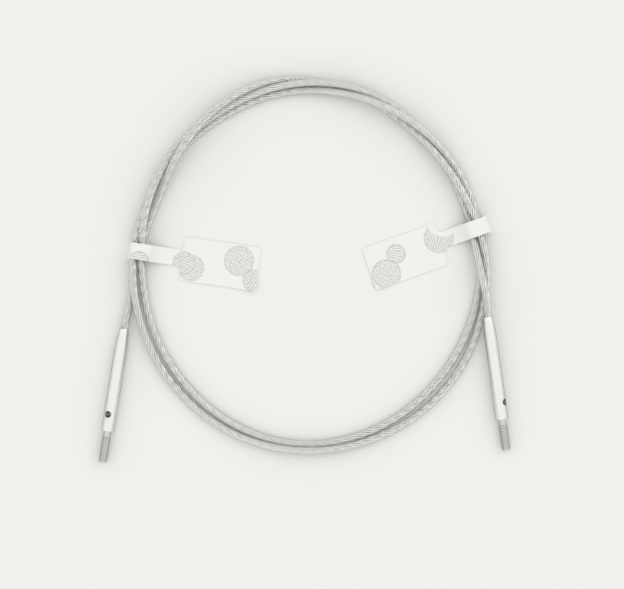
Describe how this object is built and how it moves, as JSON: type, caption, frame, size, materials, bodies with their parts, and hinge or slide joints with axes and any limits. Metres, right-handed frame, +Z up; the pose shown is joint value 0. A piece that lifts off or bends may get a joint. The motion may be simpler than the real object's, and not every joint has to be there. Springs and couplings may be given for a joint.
{
  "type": "circular knitting needle cable",
  "caption": "Coiled nylon-jacketed steel cable with a swivelling tapered steel connector and threaded stud at each end, held by paper labels.",
  "frame": {"origin": "centre of the coil, on the surface that it lies on", "axes": "+Z up from the surface; +X towards the right connector's side, the long way across both connectors; +Y away from the connectors, across the coil"},
  "size_m": [0.1153, 0.109, 0.0059],
  "materials": {
    "cable_jacket": "clear nylon over a bright steel rope, so it looks silver grey, glossy",
    "bare_rope": "bright stranded stainless rope",
    "ferrule_steel": "plain turned and crimped stainless",
    "barrel_steel": "satin stainless, finely turned",
    "stud_steel": "cut thread, bright stainless",
    "washer_nylon": "natural nylon",
    "label_paper": "white matt paper, folded double, with grey hatched dots"
  },
  "bodies": {
    "cable": {"cable_coil": "cable_jacket", "cable_tail_left": "cable_jacket", "cable_tail_right": "cable_jacket", "wire_rope_end_left": "bare_rope", "wire_rope_end_right": "bare_rope", "swivel_ferrule_left": "ferrule_steel", "swivel_ferrule_right": "ferrule_steel", "label_left": "label_paper", "label_right": "label_paper"},
    "connector_left": {"barrel_left": "barrel_steel", "threaded_stud_left": "stud_steel", "front_washer_left": "washer_nylon", "rear_pad_left": "washer_nylon"},
    "connector_right": {"barrel_right": "barrel_steel", "threaded_stud_right": "stud_steel", "front_washer_right": "washer_nylon", "rear_pad_right": "washer_nylon"}
  },
  "joints": [
    {"name": "left_swivel", "type": "hinge", "parent": "cable", "child": "connector_left", "pos_m": [-0.05378, -0.0261, 0.0018], "axis": [-0.1599, -0.9871, 0], "continuous": true},
    {"name": "right_swivel", "type": "hinge", "parent": "cable", "child": "connector_right", "pos_m": [0.05014, -0.02271, 0.00276], "axis": [0.1425, -0.9887, -0.0455], "continuous": true}
  ]
}
